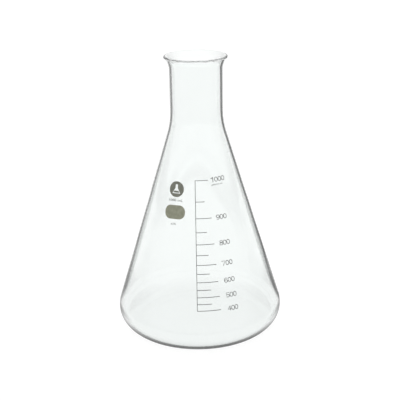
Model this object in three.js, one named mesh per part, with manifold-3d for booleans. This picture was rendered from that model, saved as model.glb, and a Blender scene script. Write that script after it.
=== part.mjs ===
// A 1000 mL conical (Erlenmeyer) flask: one blown vessel of borosilicate glass that carries a fired
// enamel scale, its numerals, a marking spot to write on and a plain round emblem.
//
// Millimetres, +Z up. The origin is the centre of the ring that the flask stands on. The printed side
// faces -Y, so +X is on the reader's right.

import * as THREE from "three";
import { TessellateModifier } from "three/addons/modifiers/TessellateModifier.js";
import { mergeVertices } from "three/addons/utils/BufferGeometryUtils.js";
import Module from "manifold-3d";

// Glass
const HEIGHT = 220;
const BODY_DIAMETER = 132;
const NECK_DIAMETER = 40.9;
const RIM_DIAMETER = 48.6;
const WALL = 2;
const HEEL_RADIUS = 16; // where the cone turns into the base
const SHOULDER_RADIUS = 60; // where the cone turns into the neck
const NECK_START = 177.5; // height from which the neck is straight
const FLARE_RADIUS = 14; // of the curve that opens the neck into the rim
const FOOT_INNER_RADIUS = 44; // the base rises inside this ring
const PUSH_UP = 1.5; // how far the middle of the base rises
const SIDES = 64; // flats round the axis

// Enamel
const INK_GAP = 0.1;
const INK_THICKNESS = 0.1;
const INK_STEP = 3; // longest straight edge before a print is bent round the cone
const LINE_WIDTH = 0.4;
const STEM_X = -2; // the scale's stem lies in the plane x = STEM_X
const TOP_MARK = 1000; // mL
const BOTTOM_MARK = 400;
const MARK_STEP = 50;
const NUMERAL_STEP = 100;
const MAJOR_MARK_ARC = 0.3; // radians round the cone, from the stem to the end of a mark
const MINOR_MARK_ARC = 0.19;
const NUMERAL_ARC = 0.39; // from the stem to the first figure
const TOP_NUMERAL_ARC = 0.37; // the longest numeral stands closer
const NUMERAL_HEIGHT = 3.7;
const NUMERAL_ADVANCE = 2.95; // from one figure to the next
const NUMERAL_STROKE = 0.42;
const SPOT = { width: 16.8, height: 10.6, corner: 4.9, azimuth: -27, level: 107.2 };
const EMBLEM = { radius: 6, azimuth: -28, level: 123.8 };
const PRINT_TILT = THREE.MathUtils.degToRad(3); // the spot and the emblem lean with the artwork

const { PI, sin, cos, tan, asin, acos, atan2, hypot } = Math;

// The vessel's section is arcs joined by straight lines. Each arc is a centre and a radius in the
// plane of the section, with x outwards and y up.
const heelCentre = new THREE.Vector2(BODY_DIAMETER / 2 - HEEL_RADIUS, HEEL_RADIUS);
const shoulderCentre = new THREE.Vector2(NECK_DIAMETER / 2 + SHOULDER_RADIUS, NECK_START);
const domeRadius = (FOOT_INNER_RADIUS ** 2 + PUSH_UP ** 2) / (2 * PUSH_UP);
const domeCentre = new THREE.Vector2(0, PUSH_UP - domeRadius);
const domeSweep = asin(FOOT_INNER_RADIUS / domeRadius);

// The cone is the line that touches the heel's arc from outside and the shoulder's arc from inside.
const heelToShoulder = shoulderCentre.clone().sub(heelCentre);
const CONE_ANGLE =
  atan2(heelToShoulder.y, heelToShoulder.x) -
  acos((HEEL_RADIUS + SHOULDER_RADIUS) / heelToShoulder.length());

// The flare turns outwards until the rounded rim reaches its diameter, and its top is HEIGHT.
const flareMiddle = FLARE_RADIUS + WALL / 2;
const flareCentreX = NECK_DIAMETER / 2 + FLARE_RADIUS;
const flareSweep = acos((flareCentreX + WALL / 2 - RIM_DIAMETER / 2) / flareMiddle);
const flareCentre = new THREE.Vector2(flareCentreX, HEIGHT - WALL / 2 - flareMiddle * sin(flareSweep));
const rimCentre = new THREE.Vector2(
  flareCentre.x - flareMiddle * cos(flareSweep),
  flareCentre.y + flareMiddle * sin(flareSweep),
);

function arc(centre, radius, from, to, steps) {
  return Array.from({ length: steps + 1 }, (_, i) => {
    const angle = THREE.MathUtils.lerp(from, to, i / steps);
    return new THREE.Vector2(centre.x + radius * cos(angle), centre.y + radius * sin(angle));
  });
}

// The outline at a depth below the outer surface, from the axis at the base up to the rim. The arcs
// keep their centres, so the wall has the same thickness everywhere.
function outline(depth) {
  return [
    ...arc(domeCentre, domeRadius + depth, PI / 2, PI / 2 - domeSweep, 4),
    ...arc(heelCentre, HEEL_RADIUS - depth, -PI / 2, CONE_ANGLE, 12),
    ...arc(shoulderCentre, SHOULDER_RADIUS + depth, PI + CONE_ANGLE, PI, 6),
    ...arc(flareCentre, FLARE_RADIUS + depth, PI, PI - flareSweep, 6),
  ];
}

function makeVessel() {
  const rim = arc(rimCentre, WALL / 2, -flareSweep, PI - flareSweep, 8).slice(1, -1);
  const section = [...outline(0), ...rim, ...outline(WALL).reverse()];
  return new THREE.LatheGeometry(section, SIDES).rotateX(PI / 2);
}

// The volume inside the vessel below a level, in mL. Where the base rises towards the axis the
// outline runs downhill, and what it adds is negative, as it should be.
const inside = outline(WALL);

function volumeBelow(level) {
  let volume = 0;
  for (let i = 1; i < inside.length; i += 1) {
    const from = inside[i - 1];
    const full = inside[i];
    const reached = full.y > level;
    const to = reached ? from.clone().lerp(full, (level - from.y) / (full.y - from.y)) : full;
    volume += (PI / 3) * (from.x ** 2 + from.x * to.x + to.x ** 2) * (to.y - from.y);
    if (reached) break;
  }
  return volume / 1000;
}

// The level that a volume in mL reaches, found by halving the interval.
function levelOf(volume) {
  let low = HEEL_RADIUS;
  let high = NECK_START;
  while (high - low > 1e-4) {
    const middle = (low + high) / 2;
    if (volumeBelow(middle) < volume) low = middle;
    else high = middle;
  }
  return low;
}

// The cone's outer surface. An azimuth is an angle round the axis from -Y towards +X.
const APEX_LEVEL = heelCentre.y + heelCentre.x / tan(CONE_ANGLE) + HEEL_RADIUS / sin(CONE_ANGLE);

const coneRadius = (level) => (APEX_LEVEL - level) * tan(CONE_ANGLE);

function onCone(azimuth, level, outward) {
  const radius = coneRadius(level) + outward * cos(CONE_ANGLE);
  return [radius * sin(azimuth), -radius * cos(azimuth), level + outward * sin(CONE_ANGLE)];
}

// Moves every vertex of a flat drawing. place takes x, y and the distance out from the glass.
function movePoints(geometry, place) {
  const position = geometry.getAttribute("position");
  for (let i = 0; i < position.count; i += 1) {
    const outward = position.getZ(i) + INK_GAP;
    position.setXYZ(i, ...place(position.getX(i), position.getY(i), outward));
  }
  geometry.computeVertexNormals();
  return geometry;
}

// Bends a flat drawing onto the cone with its origin at an azimuth and a level, as a transfer bends:
// the cone unrolls flat, so no length in the drawing changes.
function wrap(geometry, azimuth, level, tilt = 0) {
  const toApex = coneRadius(level) / sin(CONE_ANGLE);
  return movePoints(geometry.rotateZ(tilt), (x, y, outward) => {
    const slant = hypot(x, toApex - y);
    const turn = atan2(x, toApex - y) / sin(CONE_ANGLE);
    return onCone(azimuth + turn, APEX_LEVEL - slant * cos(CONE_ANGLE), outward);
  });
}

const splitter = new TessellateModifier(INK_STEP, 12);

function extrudePrint(shape) {
  return new THREE.ExtrudeGeometry(shape, {
    depth: INK_THICKNESS,
    bevelEnabled: false,
    curveSegments: 10,
  });
}

// The stem with its marks, joined flat into one comb. In the drawing x runs from the stem along the
// circle round the cone, and y is the level. Only the marks need splitting: the stem is straight.
function makeScale() {
  const bar = (from, to, bottom, top) =>
    new THREE.BoxGeometry(to - from, top - bottom, INK_THICKNESS, Math.ceil((to - from) / INK_STEP))
      .translate((from + to) / 2, (bottom + top) / 2, INK_THICKNESS / 2);
  const half = LINE_WIDTH / 2;
  const bars = [bar(-half, half, levelOf(BOTTOM_MARK) - half, levelOf(TOP_MARK) + half)];
  for (let volume = BOTTOM_MARK; volume <= TOP_MARK; volume += MARK_STEP) {
    const level = levelOf(volume);
    bars.push(bar(-half, markArc(volume) * coneRadius(level), level - half, level + half));
  }
  return movePoints(join(bars), (x, level, outward) => {
    const radius = coneRadius(level);
    return onCone(asin(STEM_X / radius) + x / radius, level, outward);
  });
}

function markArc(volume) {
  return volume % NUMERAL_STEP === 0 ? MAJOR_MARK_ARC : MINOR_MARK_ARC;
}

// Figures are drawn with a pen, in a box 1 high and 2 * MIDDLE wide. A stroke is a list of points
// along the middle of the pen, and one that ends where it began is a ring.
const point = (x, y) => new THREE.Vector2(x, y);
const PEN = NUMERAL_STROKE / NUMERAL_HEIGHT;
const LEFT = PEN / 2;
const MIDDLE = 0.375;
const RIGHT = 2 * MIDDLE - LEFT;
const TOP = 1 - PEN / 2;
const BOTTOM = PEN / 2;
const BOWL = 0.31; // half the height of the round part of 5, 6 and 9

function oval(x, y, radiusX, radiusY, from = 0, to = 2 * PI, steps = 20) {
  return arc(point(0, 0), 1, from, to, steps).map((p) => point(x + radiusX * p.x, y + radiusY * p.y));
}

const BOWL_X = MIDDLE - LEFT;
const BOWL_Y = BOWL - PEN / 2;

const SIX = [
  oval(MIDDLE, BOWL, BOWL_X, BOWL_Y),
  oval(MIDDLE + 0.02, 0.5, BOWL_X + 0.02, TOP - 0.5, 0.26 * PI, 1.12 * PI, 10),
];

const FIGURES = {
  0: [oval(MIDDLE, 0.5, BOWL_X, TOP - 0.5)],
  1: [
    [point(MIDDLE + 0.06, 1), point(MIDDLE + 0.06, 0)],
    [point(LEFT, 0.72), point(MIDDLE + 0.07, 0.9)],
  ],
  4: [
    [point(0.52, 1), point(0.52, 0)],
    [point(0.52, 0.9), point(LEFT, 0.3), point(RIGHT + PEN / 2, 0.3)],
  ],
  5: [
    [
      point(RIGHT, TOP),
      point(LEFT + 0.05, TOP),
      ...oval(MIDDLE, BOWL, BOWL_X, BOWL_Y, 0.8 * PI, -0.85 * PI, 12),
    ],
  ],
  6: SIX,
  7: [[point(LEFT - PEN / 2, TOP), point(RIGHT, TOP), point(0.27, 0)]],
  8: [
    oval(MIDDLE, 0.285, BOWL_X, 0.285 - BOTTOM),
    oval(MIDDLE, 0.75, BOWL_X - 0.03, TOP - 0.75),
  ],
  9: SIX.map((stroke) => stroke.map((p) => point(2 * MIDDLE - p.x, 1 - p.y))),
};

// The edge of a stroke on one side of the pen, with mitred corners.
function strokeEdge(line, closed, distance) {
  const last = line.length - 1;
  return line.map((here, i) => {
    const before = line[closed ? (i + last) % (last + 1) : Math.max(i - 1, 0)];
    const after = line[closed ? (i + 1) % (last + 1) : Math.min(i + 1, last)];
    const arriving = here.clone().sub(before).normalize();
    const leaving = after.clone().sub(here).normalize();
    const along = arriving.clone().add(leaving).normalize();
    const corner = Math.max(along.dot(arriving), along.dot(leaving));
    return here.clone().add(point(-along.y, along.x).multiplyScalar(distance / corner));
  });
}

function strokeShape(stroke) {
  const closed = stroke[0].distanceTo(stroke.at(-1)) < 1e-6;
  const line = closed ? stroke.slice(0, -1) : stroke;
  const left = strokeEdge(line, closed, PEN / 2);
  const right = strokeEdge(line, closed, -PEN / 2);
  if (!closed) return new THREE.Shape([...left, ...right.reverse()]);
  const ring = new THREE.Shape(right);
  ring.holes.push(new THREE.Path(left));
  return ring;
}

const wasm = await Module();
wasm.setup();

// Joins overlapping closed geometries into one.
function join(geometries) {
  const solids = geometries.map((geometry) => {
    geometry.deleteAttribute("normal");
    geometry.deleteAttribute("uv");
    const merged = mergeVertices(geometry);
    const vertProperties = new Float32Array(merged.getAttribute("position").array);
    const triVerts = new Uint32Array(merged.index.array);
    return new wasm.Manifold(new wasm.Mesh({ numProp: 3, vertProperties, triVerts }));
  });
  const joined = solids.reduce((whole, solid) => whole.add(solid)).getMesh();
  const geometry = new THREE.BufferGeometry();
  geometry.setAttribute("position", new THREE.BufferAttribute(joined.vertProperties, 3));
  geometry.setIndex(new THREE.BufferAttribute(joined.triVerts, 1));
  return geometry;
}

function makeFigure(figure) {
  const strokes = FIGURES[figure].map((stroke) =>
    extrudePrint(strokeShape(stroke)).scale(NUMERAL_HEIGHT, NUMERAL_HEIGHT, 1),
  );
  return join(strokes).translate(0, -NUMERAL_HEIGHT / 2, 0);
}

function makeSpot() {
  const { width, height, corner } = SPOT;
  const right = width / 2 - corner;
  const top = height / 2 - corner;
  const shape = new THREE.Shape();
  shape.absarc(right, top, corner, 0, PI / 2);
  shape.absarc(-right, top, corner, PI / 2, PI);
  shape.absarc(-right, -top, corner, PI, 1.5 * PI);
  shape.absarc(right, -top, corner, 1.5 * PI, 2 * PI);
  return splitter.modify(extrudePrint(shape));
}

// A disc with the outline of a little flask left clear in it.
function makeEmblem() {
  const { radius } = EMBLEM;
  const disc = new THREE.Shape();
  disc.absarc(0, 0, radius, 0, 2 * PI);
  const neck = radius * 0.16;
  const foot = radius * 0.56;
  const flask = [
    point(neck, radius * 0.62),
    point(-neck, radius * 0.62),
    point(-neck, radius * 0.18),
    point(-foot, -radius * 0.52),
    point(foot, -radius * 0.52),
    point(neck, radius * 0.18),
  ];
  disc.holes.push(new THREE.Path(flask));
  return splitter.modify(extrudePrint(disc));
}

const glass = new THREE.MeshStandardMaterial({
  color: 0xe6f0ec,
  roughness: 0.03,
  metalness: 0,
  transparent: true,
  opacity: 0.35,
});
const lineInk = new THREE.MeshStandardMaterial({ color: 0x6f726c, roughness: 0.55, metalness: 0 });
const spotInk = new THREE.MeshStandardMaterial({ color: 0x88897a, roughness: 0.6, metalness: 0 });
const emblemInk = new THREE.MeshStandardMaterial({ color: 0x6c6f66, roughness: 0.6, metalness: 0 });

const flask = new THREE.Group();

function addPiece(name, geometry, material) {
  const mesh = new THREE.Mesh(geometry, material);
  mesh.name = name;
  flask.add(mesh);
}

function addNumeral(volume) {
  const level = levelOf(volume);
  const radius = coneRadius(level);
  const start = asin(STEM_X / radius) + (volume === TOP_MARK ? TOP_NUMERAL_ARC : NUMERAL_ARC);
  [...String(volume)].forEach((figure, i) => {
    const azimuth = start + (i * NUMERAL_ADVANCE) / radius;
    const geometry = wrap(makeFigure(figure), azimuth, level);
    addPiece(`numeral_${volume}_figure_${i + 1}`, geometry, lineInk);
  });
}

addPiece("glass_vessel", makeVessel(), glass);
addPiece("graduation_scale", makeScale(), lineInk);
for (let volume = TOP_MARK; volume >= BOTTOM_MARK; volume -= NUMERAL_STEP) addNumeral(volume);
for (const [name, geometry, place, ink] of [
  ["marking_spot", makeSpot(), SPOT, spotInk],
  ["round_emblem", makeEmblem(), EMBLEM, emblemInk],
]) {
  const azimuth = THREE.MathUtils.degToRad(place.azimuth);
  addPiece(name, wrap(geometry, azimuth, place.level, PRINT_TILT), ink);
}

export default flask;
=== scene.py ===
"""A 1000 mL conical flask of clear glass with a fired enamel scale, built round the frame."""

from itertools import pairwise
from math import acos, asin, atan2, cos, degrees, hypot, pi, radians, sin, tan

import bmesh
import bpy
from mathutils import Matrix, Vector, noise


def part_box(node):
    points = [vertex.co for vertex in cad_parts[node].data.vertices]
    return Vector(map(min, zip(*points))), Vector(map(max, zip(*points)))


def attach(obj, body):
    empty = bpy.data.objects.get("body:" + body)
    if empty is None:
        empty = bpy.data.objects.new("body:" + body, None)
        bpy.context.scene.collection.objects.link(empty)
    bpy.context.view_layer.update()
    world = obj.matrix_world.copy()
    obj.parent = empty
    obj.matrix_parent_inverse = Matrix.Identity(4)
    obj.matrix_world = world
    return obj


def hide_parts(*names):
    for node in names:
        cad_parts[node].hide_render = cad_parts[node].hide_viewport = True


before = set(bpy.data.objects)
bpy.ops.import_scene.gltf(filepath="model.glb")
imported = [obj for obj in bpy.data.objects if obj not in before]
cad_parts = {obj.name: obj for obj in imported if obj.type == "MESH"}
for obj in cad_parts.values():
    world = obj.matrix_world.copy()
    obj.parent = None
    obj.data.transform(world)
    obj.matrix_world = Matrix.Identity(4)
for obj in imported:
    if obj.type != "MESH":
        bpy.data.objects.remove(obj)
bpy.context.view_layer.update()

MM = 0.001

# Glass. The outer sizes come from the frame, and the rest are the vessel's own dimensions.
_, VESSEL_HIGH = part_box("glass_vessel")
HEIGHT = VESSEL_HIGH.z
BODY_RADIUS = VESSEL_HIGH.x
NECK_RADIUS = 20.45 * MM
RIM_RADIUS = 24.3 * MM
WALL = 2 * MM
HEEL_RADIUS = 16 * MM
SHOULDER_RADIUS = 60 * MM
NECK_START = 177.5 * MM
FLARE_RADIUS = 14 * MM
FOOT_INNER_RADIUS = 44 * MM
PUSH_UP = 1.5 * MM
SIDES = 256
AXIS = 0.001 * MM  # nearer than this counts as on the axis
LONGEST_EDGE = 2.5 * MM  # along the straight stretches of the section
FEWEST_EDGES = 4  # of an arc
ARC_STEP = radians(4)
DOME_STEP, SHOULDER_STEP, RIM_STEP = radians(0.3), radians(1), radians(5)
WAVE_DEPTH = 0.12 * MM  # how far the inner surface wanders from the outer one's shape
WAVE_LENGTH = 35 * MM
WAVE_LOW, WAVE_HIGH = HEEL_RADIUS, HEIGHT - 2 * FLARE_RADIUS  # the waves lie between these levels
WAVE_FADE = 12 * MM  # and grow from nothing over this height at each end
THINNING = 0.5 * MM  # how much the blown wall thins half way up the cone
GLASS_IOR = 1.473
GLASS_TINT = (0.947, 0.965, 0.959, 1)
GLASS_BOUNCES = 256  # light can run the whole length of the wall before it leaves

# Prints, as thin bodies of enamel. A print's place is (azimuth, level) on the cone.
INK_GAP = 0.02 * MM
INK_THICKNESS = 0.06 * MM
INK_STRIP = 1 * MM  # a print is cut into strips this wide, so that it can bend round the cone
INK_WELD = INK_THICKNESS / 100
WORDS_DEPTH = 0.01  # any depth does, since a print is then scaled to INK_THICKNESS
NUMERALS = ("1000", "900", "800", "700", "600", "500", "400")
FIGURE_HEIGHT = 3.7 * MM
PEN = 0.115  # the stroke of a figure, which is drawn 1 high
FIGURE_MIDDLE = 0.375  # half the width of a figure
PEN_LEFT, PEN_RIGHT = PEN / 2, 2 * FIGURE_MIDDLE - PEN / 2
PEN_TOP, PEN_BOTTOM = 1 - PEN / 2, PEN / 2
PEN_STEP = radians(12)
PEN_ROUNDNESS = 2
PEN_CLOSED = PEN / 10  # a stroke whose ends are nearer than this is a ring
PRINT_TILT = radians(3)
SPOT_WIDTH, SPOT_HEIGHT, SPOT_CORNER = 16.8 * MM, 10.6 * MM, 4.9 * MM
EMBLEM_RADIUS = 6 * MM
EMBLEM_FLASK = (  # in radii
    (0.16, 0.62), (-0.16, 0.62), (-0.16, 0.18), (-0.56, -0.52), (0.56, -0.52), (0.16, 0.18),
)
EMBLEM_LIQUID = ((-0.3, -0.2), (-0.43, -0.43), (0.43, -0.43), (0.3, -0.2))
SMALL_PRINTS = {  # words, width, height, azimuth in degrees, level
    "note_approximate": ("APPROX. mL", 9.4 * MM, 1.15 * MM, 26.2, 127.2 * MM),
    "note_volume": ("1000 mL", 11.5 * MM, 1.9 * MM, -27.6, 115.9 * MM),
    "note_tolerance": ("\u00b15%", 4.4 * MM, 1.6 * MM, -27.2, 98.6 * MM),
}

# Enamel. It is mottled between two colours, dull in patches, and keeps the printing screen's weave.
ENAMELS = {  # the dark and the pale colour
    "line_enamel": ((0.007, 0.007, 0.006), (0.028, 0.028, 0.025)),
    "emblem_enamel": ((0.11, 0.115, 0.09), (0.2, 0.205, 0.17)),
    "spot_enamel": ((0.185, 0.19, 0.13), (0.295, 0.3, 0.23)),
}
BLOTCH = {"Scale": 450, "Detail": 6, "Roughness": 0.65}
GRAIN = {"Scale": 5200, "Detail": 3, "Roughness": 0.6}
WEAVE = {"Scale": 2600, "Randomness": 0.35}
GRAIN_IN_COLOUR, GRAIN_IN_RELIEF = 0.45, 0.5
DARK_AT, PALE_AT = 0.38, 0.62
ROUGHNESS_LOW, ROUGHNESS_HIGH = 0.42, 0.72
RELIEF, RELIEF_DEPTH = 0.5, 0.04 * MM

# The camera, fitted to the outline of the flask in the photograph. The angles are in radians.
CAMERA_LENS, CAMERA_SENSOR = 80.8, 36
CAMERA_PLACE = (0, -0.6724, 0.3456)
CAMERA_TURN, CAMERA_DIP, CAMERA_ROLL = -0.0023, 0.3449, -0.0171

# The table glows. Black cards lie on it and stand round the flask. Only mirrored light shows them.
SOFT = (0, 1, 1, 0)  # how black a card is from edge to edge
ENDLESS = (0, 1, 1)  # the same for a card whose far edge is too far off to be seen
TABLE_HALF = 8
TABLE_LEVEL = -0.3 * MM
TABLE_WHITE = 0.1
TABLE_ROUGHNESS = 0.9
TABLE_GLOW = 0.94
ROOM_GLOW = 0.95
CARD_LEVEL = -0.1 * MM  # of the highest card
CARD_STEP = 0.03 * MM  # each of the others lies this far below the one before
CARD_GLOW = 0.02
CARD_MIRRORED = 0.5  # mirrorings are counted in whole numbers, so more than this is one or more
CARD_ASIDE = 45 * MM
CARD_TURNS_LEFT = [radians(a) for a in (11, 18, 36, 50)]
CARD_TURNS_RIGHT = [radians(a) for a in (8, 15, 36, 50)]
CARD_SHADE_LEFT, CARD_SHADE_RIGHT = 0.72, 0.82
CARD_NEAR_LEFT, CARD_NEAR_RIGHT = 0.045, 0.035
CARD_FADE = 1.5  # a card is black from this many times its near reach
CARD_FAR = 4
ROUND_REACH = (0.13, 0.195, CARD_FAR)
ROUND_SHADES = {50: 0, 85: 0.25}  # by the turn in degrees, which is 0 straight behind the flask
# The ring under the foot is a painted shadow: a black card in place of the table's shade round the
# foot, shown only in mirrored light.
UNDER_REACH = [r * MM for r in (44, 54, 58, 74)]
UNDER_SHADES = {25: 0.15, 75: 0.85}
BESIDE_REACH = [r * MM for r in (60, 70, 90, 110)]
BESIDE_SHADES = {15: 0, 40: 0.6, 75: 0.6, 110: 0}
PANEL_ASIDE, PANEL_LOW, PANEL_TOP = 1.5, 0.5, 3
PANEL_REACH = (-0.7, 0.7, 2, 4)
PANEL_SHADE = 0.9
ROOF_HEIGHT, ROOF_HALF, ROOF_SHADE = 3.2, 4, 0.2

# The section is arcs joined by lines that touch them. A centre is (distance from the axis, height).
HEEL_CENTRE = Vector((BODY_RADIUS - HEEL_RADIUS, HEEL_RADIUS))
SHOULDER_CENTRE = Vector((NECK_RADIUS + SHOULDER_RADIUS, NECK_START))
DOME_RADIUS = (FOOT_INNER_RADIUS**2 + PUSH_UP**2) / (2 * PUSH_UP)
DOME_CENTRE = Vector((0, PUSH_UP - DOME_RADIUS))
DOME_SWEEP = asin(FOOT_INNER_RADIUS / DOME_RADIUS)
HEEL_TO_SHOULDER = SHOULDER_CENTRE - HEEL_CENTRE
CONE_ANGLE = atan2(HEEL_TO_SHOULDER.y, HEEL_TO_SHOULDER.x) - acos(
    (HEEL_RADIUS + SHOULDER_RADIUS) / HEEL_TO_SHOULDER.length
)
FLARE_MIDDLE = FLARE_RADIUS + WALL / 2
FLARE_X = NECK_RADIUS + FLARE_RADIUS
FLARE_SWEEP = acos((FLARE_X + WALL / 2 - RIM_RADIUS) / FLARE_MIDDLE)
FLARE_CENTRE = Vector((FLARE_X, HEIGHT - WALL / 2 - FLARE_MIDDLE * sin(FLARE_SWEEP)))
RIM_CENTRE = FLARE_CENTRE + FLARE_MIDDLE * Vector((-cos(FLARE_SWEEP), sin(FLARE_SWEEP)))
APEX_HEIGHT = HEEL_CENTRE.y + HEEL_CENTRE.x / tan(CONE_ANGLE) + HEEL_RADIUS / sin(CONE_ANGLE)


def arc(centre, radius, start, end, step=ARC_STEP):
    """Points along an arc, about a step apart."""
    count = max(FEWEST_EDGES, round(abs(end - start) / step))
    angles = [start + (end - start) * i / count for i in range(count + 1)]
    return [centre + radius * Vector((cos(a), sin(a))) for a in angles]


def outline(depth):
    """The section at a depth below the outer surface, from the axis at the base to the rim."""
    return [
        *arc(DOME_CENTRE, DOME_RADIUS + depth, pi / 2, pi / 2 - DOME_SWEEP, DOME_STEP),
        *arc(HEEL_CENTRE, HEEL_RADIUS - depth, -pi / 2, CONE_ANGLE),
        *arc(SHOULDER_CENTRE, SHOULDER_RADIUS + depth, pi + CONE_ANGLE, pi, SHOULDER_STEP),
        *arc(FLARE_CENTRE, FLARE_RADIUS + depth, pi, pi - FLARE_SWEEP),
    ]


def filled_in(points):
    """The same outline with the long straight stretches divided."""
    made = [points[0]]
    for start, end in pairwise(points):
        count = max(1, int((end - start).length / LONGEST_EDGE))
        made += [start.lerp(end, i / count) for i in range(1, count + 1)]
    return made


def revolve(name, section):
    """A closed surface of revolution. The section starts and ends on the axis."""
    bm = bmesh.new()
    turns = [2 * pi * i / SIDES for i in range(SIDES)]
    rings = []
    for r, z in section:
        if r < AXIS:
            rings.append([bm.verts.new((0, 0, z))] * SIDES)
        else:
            rings.append([bm.verts.new((r * cos(a), r * sin(a), z)) for a in turns])
    for low, high in pairwise(rings):
        for i in range(SIDES):
            j = (i + 1) % SIDES
            bm.faces.new(dict.fromkeys((low[i], low[j], high[j], high[i])))
    mesh = bpy.data.meshes.new(name)
    bm.to_mesh(mesh)
    bm.free()
    mesh.shade_smooth()
    return piece_of(name, mesh)


def piece_of(name, mesh):
    piece = bpy.data.objects.new(name, mesh)
    bpy.context.scene.collection.objects.link(piece)
    return piece


def on_cone(azimuth, level, outward):
    """A point outside the straight cone. Azimuth 0 faces the front and grows to the right."""
    r = (APEX_HEIGHT - level) * tan(CONE_ANGLE) + outward * cos(CONE_ANGLE)
    return Vector((r * sin(azimuth), -r * cos(azimuth), level + outward * sin(CONE_ANGLE)))


def wrapped(point, azimuth, level):
    """Where a point of a flat drawing comes when it is laid on the cone, which unrolls flat."""
    to_apex = (APEX_HEIGHT - level) / cos(CONE_ANGLE)
    x, y, outward = point
    slant = hypot(x, to_apex - y)
    turn = atan2(x, to_apex - y) / sin(CONE_ANGLE)
    return on_cone(azimuth + turn, APEX_HEIGHT - slant * cos(CONE_ANGLE), outward + INK_GAP)


def blown(point):
    """Moves a point of the inner surface a little, as blowing does. The outer surface stays."""
    r = hypot(point.x, point.y)
    up = (point.z - HEEL_RADIUS) / (NECK_START - HEEL_RADIUS)
    thinning = THINNING * sin(pi * min(max(up, 0), 1))
    share = min(1, (point.z - WAVE_LOW) / WAVE_FADE, (WAVE_HIGH - point.z) / WAVE_FADE)
    move = noise.noise(point / WAVE_LENGTH) * WAVE_DEPTH * share + thinning
    return point + Vector((point.x / r, point.y / r, 0)) * move


def make_vessel():
    rim = arc(RIM_CENTRE, WALL / 2, -FLARE_SWEEP, pi - FLARE_SWEEP, RIM_STEP)[1:-1]
    outside, inside = filled_in(outline(0)), filled_in(outline(WALL))
    vessel = revolve("blown_glass", [*outside, *rim, *reversed(inside)])
    outer_points = 1 + (len(outside) - 1 + len(rim)) * SIDES  # one on the axis, then whole rings
    for vertex in vessel.data.vertices[outer_points:]:
        if WAVE_LOW < vertex.co.z < WAVE_HIGH:
            vertex.co = blown(vertex.co)
    vessel.data.materials.append(glass_material())
    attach(vessel, "root")
    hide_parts("glass_vessel")


def add(tree, kind, inputs=None, **settings):
    """A new shader node. Each input is a plain value or the socket that feeds it."""
    node = tree.nodes.new("ShaderNode" + kind)
    for name, value in settings.items():
        setattr(node, name, value)
    for name, value in (inputs or {}).items():
        if isinstance(value, bpy.types.NodeSocket):
            tree.links.new(value, node.inputs[name])
        else:
            node.inputs[name].default_value = value
    return node


def new_material(name):
    """A material with a Principled shader, as (material, tree, shader)."""
    material = bpy.data.materials.new(name)
    material.use_nodes = True
    tree = material.node_tree
    return material, tree, tree.nodes["Principled BSDF"]


def glass_material():
    material, _, shader = new_material("clear_borosilicate")
    shader.inputs["Base Color"].default_value = GLASS_TINT
    shader.inputs["Roughness"].default_value = 0
    shader.inputs["IOR"].default_value = GLASS_IOR
    shader.inputs["Transmission Weight"].default_value = 1
    return material


def enamel_material(name):
    material, tree, shader = new_material(name)
    place = add(tree, "TexCoord").outputs["Object"]
    blotch = add(tree, "TexNoise", {"Vector": place, **BLOTCH}).outputs["Fac"]
    grain = add(tree, "TexNoise", {"Vector": place, **GRAIN}).outputs["Fac"]
    weave = add(tree, "TexVoronoi", {"Vector": place, **WEAVE}, feature="SMOOTH_F1")

    mottle = add(tree, "Mix", {"Factor": GRAIN_IN_COLOUR, "A": blotch, "B": grain})
    colour = add(tree, "ValToRGB", {"Fac": mottle.outputs["Result"]})
    dark, pale = colour.color_ramp.elements
    dark.position, pale.position = DARK_AT, PALE_AT
    dark.color, pale.color = [(*shade, 1) for shade in ENAMELS[name]]
    tree.links.new(colour.outputs["Color"], shader.inputs["Base Color"])

    limits = {"To Min": ROUGHNESS_LOW, "To Max": ROUGHNESS_HIGH}
    dull = add(tree, "MapRange", {"Value": blotch, **limits})
    tree.links.new(dull.outputs["Result"], shader.inputs["Roughness"])

    cells = weave.outputs["Distance"]
    rough = add(tree, "Mix", {"Factor": GRAIN_IN_RELIEF, "A": cells, "B": grain})
    relief = {"Strength": RELIEF, "Distance": RELIEF_DEPTH, "Height": rough.outputs["Result"]}
    bump = add(tree, "Bump", relief)
    tree.links.new(bump.outputs["Normal"], shader.inputs["Normal"])
    return material


def make_print(name, drawing, material, place, tilt=0.0, size=None):
    """Makes a drawing a thin body, fits it to a (width, height) size and lays it on the cone."""
    flat = piece_of(name + "_flat", drawing)
    shown = flat.evaluated_get(bpy.context.evaluated_depsgraph_get())
    mesh = bpy.data.meshes.new_from_object(shown)
    bpy.data.objects.remove(flat)
    bm = bmesh.new()
    bm.from_mesh(mesh)
    low = Vector([min(v.co[i] for v in bm.verts) for i in range(3)])
    high = Vector([max(v.co[i] for v in bm.verts) for i in range(3)])
    span = high - low
    wide, tall = size or span.xy
    turn = Matrix.Rotation(tilt, 4, "Z")
    scale = Matrix.Diagonal((wide / span.x, tall / span.y, INK_THICKNESS / span.z, 1))
    middle = Matrix.Translation(-(low + high) / 2)
    bmesh.ops.transform(bm, matrix=turn @ scale @ middle, verts=bm.verts)
    bmesh.ops.remove_doubles(bm, verts=bm.verts, dist=INK_WELD)
    strips = int(hypot(wide, tall) / 2 / INK_STRIP)
    for i in range(-strips, strips + 1):
        everything = [*bm.verts, *bm.edges, *bm.faces]
        cut = Vector((i * INK_STRIP, 0, 0))
        bmesh.ops.bisect_plane(bm, geom=everything, plane_co=cut, plane_no=(1, 0, 0))
    for vertex in bm.verts:
        vertex.co = wrapped(vertex.co + Vector((0, 0, INK_THICKNESS / 2)), *place)
    bmesh.ops.recalc_face_normals(bm, faces=bm.faces)
    bm.to_mesh(mesh)
    bm.free()
    mesh.materials.clear()
    mesh.materials.append(material)
    piece = piece_of(name, mesh)
    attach(piece, "root")
    return piece


def words(body):
    drawing = bpy.data.curves.new("words", "FONT")
    drawing.body = body
    drawing.extrude = WORDS_DEPTH
    return drawing


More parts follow.
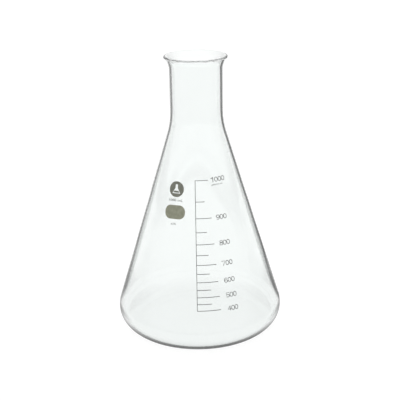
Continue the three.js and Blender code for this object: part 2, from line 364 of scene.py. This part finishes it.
def loops(*outlines):
    """A filled drawing. An outline inside another is a hole, and one inside that is filled."""
    drawing = bpy.data.curves.new("loops", "CURVE")
    drawing.dimensions = "2D"
    drawing.fill_mode = "BOTH"
    drawing.extrude = INK_THICKNESS / 2
    for points in outlines:
        add_line(drawing, points, True)
    return drawing


def pen_drawing(strokes):
    """Strokes of a round pen. A stroke that ends where it began is a ring."""
    drawing = bpy.data.curves.new("pen", "CURVE")
    drawing.dimensions = "3D"
    drawing.bevel_depth = PEN / 2
    drawing.bevel_resolution = PEN_ROUNDNESS
    drawing.use_fill_caps = True
    for points in strokes:
        ring = (Vector(points[0]) - Vector(points[-1])).length < PEN_CLOSED
        add_line(drawing, points[:-1] if ring else points, ring)
    return drawing


def add_line(drawing, points, ring):
    """Adds a line through the points, which joins up with its start if it is a ring."""
    spline = drawing.splines.new("POLY")
    spline.points.add(len(points) - 1)
    for point, (x, y) in zip(spline.points, points):
        point.co = (x, y, 0, 1)
    spline.use_cyclic_u = ring


def oval(x, y, radius_x, radius_y, start=0.0, end=2 * pi):
    """Points round an ellipse, or along the part of it from one angle to another."""
    unit = arc(Vector((0, 0)), 1, start, end, PEN_STEP)
    return [(x + radius_x * p.x, y + radius_y * p.y) for p in unit]


# Figures are drawn 1 high. Each is the strokes that write it.
WIDE = FIGURE_MIDDLE - PEN_LEFT
BOWL_Y = 0.31
BOWL_RADIUS = BOWL_Y - PEN_BOTTOM
STEM_1, STEM_4 = 0.435, 0.52
SIX = [
    oval(FIGURE_MIDDLE, BOWL_Y, WIDE, BOWL_RADIUS),
    oval(FIGURE_MIDDLE + 0.02, 0.5, WIDE + 0.02, PEN_TOP - 0.5, 0.26 * pi, 1.12 * pi),
]
FIGURES = {
    "0": [oval(FIGURE_MIDDLE, 0.5, WIDE, PEN_TOP - 0.5)],
    "1": [[(STEM_1, 1), (STEM_1, 0)], [(PEN_LEFT, 0.72), (STEM_1, 0.9)]],
    "4": [
        [(STEM_4, 1), (STEM_4, 0)],
        [(STEM_4, 0.92), (PEN_LEFT, 0.3), (2 * FIGURE_MIDDLE, 0.3)],
    ],
    "5": [
        [
            (PEN_RIGHT, PEN_TOP),
            (PEN_LEFT + 0.05, PEN_TOP),
            *oval(FIGURE_MIDDLE, BOWL_Y, WIDE, BOWL_RADIUS, 0.8 * pi, -0.85 * pi),
        ]
    ],
    "6": SIX,
    "7": [[(0, PEN_TOP), (PEN_RIGHT, PEN_TOP), (0.27, 0)]],
    "8": [
        oval(FIGURE_MIDDLE, 0.285, WIDE, 0.285 - PEN_BOTTOM),
        oval(FIGURE_MIDDLE, 0.75, WIDE - 0.03, PEN_TOP - 0.75),
    ],
    "9": [[(2 * FIGURE_MIDDLE - x, 1 - y) for x, y in stroke] for stroke in SIX],
}


def place_of(name):
    """The middle of a printed node as (azimuth, level), and its width along the cone."""
    low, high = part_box(name)
    level = (low.z + high.z) / 2
    radius = (APEX_HEIGHT - level) * tan(CONE_ANGLE)
    start, end = asin(low.x / radius), asin(high.x / radius)
    return ((start + end) / 2, level), radius * (end - start)


def make_prints():
    """The scale's enamel, and every other print as a piece of its own."""
    line, emblem_ink, spot_ink = [enamel_material(name) for name in ENAMELS]

    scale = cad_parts["graduation_scale"]
    scale.data.materials.clear()
    scale.data.materials.append(line)

    for numeral in NUMERALS:
        for i, figure in enumerate(numeral, 1):
            node = f"numeral_{numeral}_figure_{i}"
            place, width = place_of(node)
            size = (width, FIGURE_HEIGHT)
            drawing = pen_drawing(FIGURES[figure])
            piece = make_print(f"figure_{numeral}_{i}", drawing, line, place, size=size)
            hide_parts(node)

    right, top = SPOT_WIDTH / 2 - SPOT_CORNER, SPOT_HEIGHT / 2 - SPOT_CORNER
    corners = ((right, top, 0), (-right, top, 1), (-right, -top, 2), (right, -top, 3))
    edge = []
    for x, y, quarter in corners:
        edge += arc(Vector((x, y)), SPOT_CORNER, quarter * pi / 2, (quarter + 1) * pi / 2)
    place, _ = place_of("marking_spot")
    spot = make_print("enamel_spot", loops(edge), spot_ink, place, PRINT_TILT)
    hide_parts("marking_spot")

    disc = arc(Vector((0, 0)), EMBLEM_RADIUS, 0, 2 * pi)[:-1]
    flask = [Vector(p) * EMBLEM_RADIUS for p in EMBLEM_FLASK]
    liquid = [Vector(p) * EMBLEM_RADIUS for p in EMBLEM_LIQUID]
    place, _ = place_of("round_emblem")
    drawing = loops(disc, flask, liquid)
    emblem = make_print("enamel_emblem", drawing, emblem_ink, place, PRINT_TILT)
    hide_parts("round_emblem")

    for name, (body, wide, tall, azimuth, level) in SMALL_PRINTS.items():
        place = (radians(azimuth), level)
        piece = make_print(name, words(body), line, place, PRINT_TILT, (wide, tall))


def make_camera():
    data = bpy.data.cameras.new("camera")
    data.lens = CAMERA_LENS
    data.sensor_width = CAMERA_SENSOR
    camera = bpy.data.objects.new("camera", data)
    bpy.context.scene.collection.objects.link(camera)
    camera.matrix_world = (
        Matrix.Translation(CAMERA_PLACE)
        @ Matrix.Rotation(CAMERA_TURN, 4, "Z")
        @ Matrix.Rotation(pi / 2 - CAMERA_DIP, 4, "X")
        @ Matrix.Rotation(CAMERA_ROLL, 4, "Z")
    )
    bpy.context.scene.camera = camera


def stage_piece(name, points, faces, material):
    """A flat piece of the stage, which isn't part of the flask."""
    mesh = bpy.data.meshes.new(name)
    mesh.from_pydata(points, [], faces)
    mesh.materials.append(material)
    piece = piece_of(name, mesh)
    return piece


def table_material():
    material, _, shader = new_material("lit_table")
    shader.inputs["Base Color"].default_value = (TABLE_WHITE, TABLE_WHITE, TABLE_WHITE, 1)
    shader.inputs["Roughness"].default_value = TABLE_ROUGHNESS
    shader.inputs["Emission Color"].default_value = (1, 1, 1, 1)
    shader.inputs["Emission Strength"].default_value = TABLE_GLOW
    return material


def card_material():
    """Black for light that glass has mirrored on its way to the eye, and clear for all other."""
    material, tree, _ = new_material("black_card")
    depth = add(tree, "LightPath").outputs["Glossy Depth"]
    mirrored = add(tree, "Math", {0: depth, 1: CARD_MIRRORED}, operation="GREATER_THAN")
    shade = add(tree, "Attribute", attribute_name="shade").outputs["Fac"]
    seen = add(tree, "Math", {0: mirrored.outputs[0], 1: shade}, operation="MULTIPLY")
    clear = add(tree, "BsdfTransparent")
    black = add(tree, "Emission", {"Strength": CARD_GLOW})
    mix = add(tree, "MixShader", {0: seen.outputs[0], 1: clear.outputs[0], 2: black.outputs[0]})
    tree.links.new(mix.outputs[0], tree.nodes["Material Output"].inputs["Surface"])
    return material


def soft_card(name, rows, material):
    """A card from rows of ((x, y, z), shade) points. The shade runs from 0, clear, to 1, black."""
    across = len(rows[0])
    faces = [
        (i * across + j, i * across + j + 1, (i + 1) * across + j + 1, (i + 1) * across + j)
        for i in range(len(rows) - 1)
        for j in range(across - 1)
    ]
    card = stage_piece(name, [place for row in rows for place, _ in row], faces, material)
    shade = card.data.attributes.new("shade", "FLOAT", "POINT")
    shade.data.foreach_set("value", [value for row in rows for _, value in row])


def lay_card(name, level, side, near, turns, dark, material):
    """A card on the table that fans out behind the flask. Side is -1 for left and 1 for right."""
    rows = []
    for reach, along in zip((near, CARD_FADE * near, CARD_FAR), ENDLESS):
        row = []
        for turn, across in zip(turns, SOFT):
            x, y = side * (CARD_ASIDE + reach * sin(turn)), reach * cos(turn)
            row.append(((x, y, level), across * along * dark))
        rows.append(row)
    soft_card(name, rows, material)


def shade_at(turn, shades):
    """The shade at a turn to either side, eased from one turn in the table to the next."""
    turn = degrees(min(turn, 2 * pi - turn))
    shade = next(iter(shades.values()))
    for (start, first), (end, last) in pairwise(shades.items()):
        part = min(max((turn - start) / (end - start), 0), 1)
        shade += (last - first) * part * part * (3 - 2 * part)
    return shade


def lay_ring(name, level, reaches, alongs, shades, material):
    """A card round the flask. Its shade depends on the reach and on the turn."""
    rows = []
    for turn in [2 * pi * i / SIDES for i in range(SIDES + 1)]:
        shade = shade_at(turn, shades)
        rows.append([
            ((reach * sin(turn), reach * cos(turn), level), shade * along)
            for reach, along in zip(reaches, alongs)
        ])
    soft_card(name, rows, material)


def make_stage():
    """A lit white table, and the black cards round the flask that give it its dark edges. The card
    under the foot is a painted shadow.
    """
    half = TABLE_HALF
    corners = [(-half, -half), (half, -half), (half, half), (-half, half)]
    stage_piece("table", [(x, y, TABLE_LEVEL) for x, y in corners], [range(4)], table_material())
    black = card_material()
    levels = [CARD_LEVEL - i * CARD_STEP for i in range(5)]  # for the five that lie on the table
    left = (-1, CARD_NEAR_LEFT, CARD_TURNS_LEFT, CARD_SHADE_LEFT)
    right = (1, CARD_NEAR_RIGHT, CARD_TURNS_RIGHT, CARD_SHADE_RIGHT)
    lay_card("card_left", levels[0], *left, black)
    lay_card("card_right", levels[1], *right, black)
    lay_ring("card_round", levels[2], ROUND_REACH, ENDLESS, ROUND_SHADES, black)
    # A painted shadow: black under the foot, where the table lies in the flask's shade.
    lay_ring("shadow_card_under", levels[3], UNDER_REACH, SOFT, UNDER_SHADES, black)
    lay_ring("card_beside", levels[4], BESIDE_REACH, SOFT, BESIDE_SHADES, black)
    for side in (-1, 1):
        x = side * PANEL_ASIDE
        rows = [
            [((x, y, level), PANEL_SHADE * along) for y, along in zip(PANEL_REACH, SOFT)]
            for level in (PANEL_LOW, PANEL_TOP)
        ]
        soft_card(f"panel_{side}", rows, black)
    half = ROOF_HALF
    rows = [[((x, y, ROOF_HEIGHT), ROOF_SHADE) for x in (-half, half)] for y in (-half, half)]
    soft_card("roof", rows, black)


def make_light():
    world = bpy.data.worlds.new("studio")
    world.use_nodes = True
    background = world.node_tree.nodes["Background"]
    background.inputs["Color"].default_value = (1, 1, 1, 1)
    background.inputs["Strength"].default_value = ROOM_GLOW
    scene = bpy.context.scene
    scene.world = world
    scene.view_settings.view_transform = "Standard"
    scene.cycles.max_bounces = GLASS_BOUNCES
    scene.cycles.glossy_bounces = GLASS_BOUNCES
    scene.cycles.transmission_bounces = GLASS_BOUNCES


make_camera()
make_stage()
make_light()
make_vessel()
make_prints()
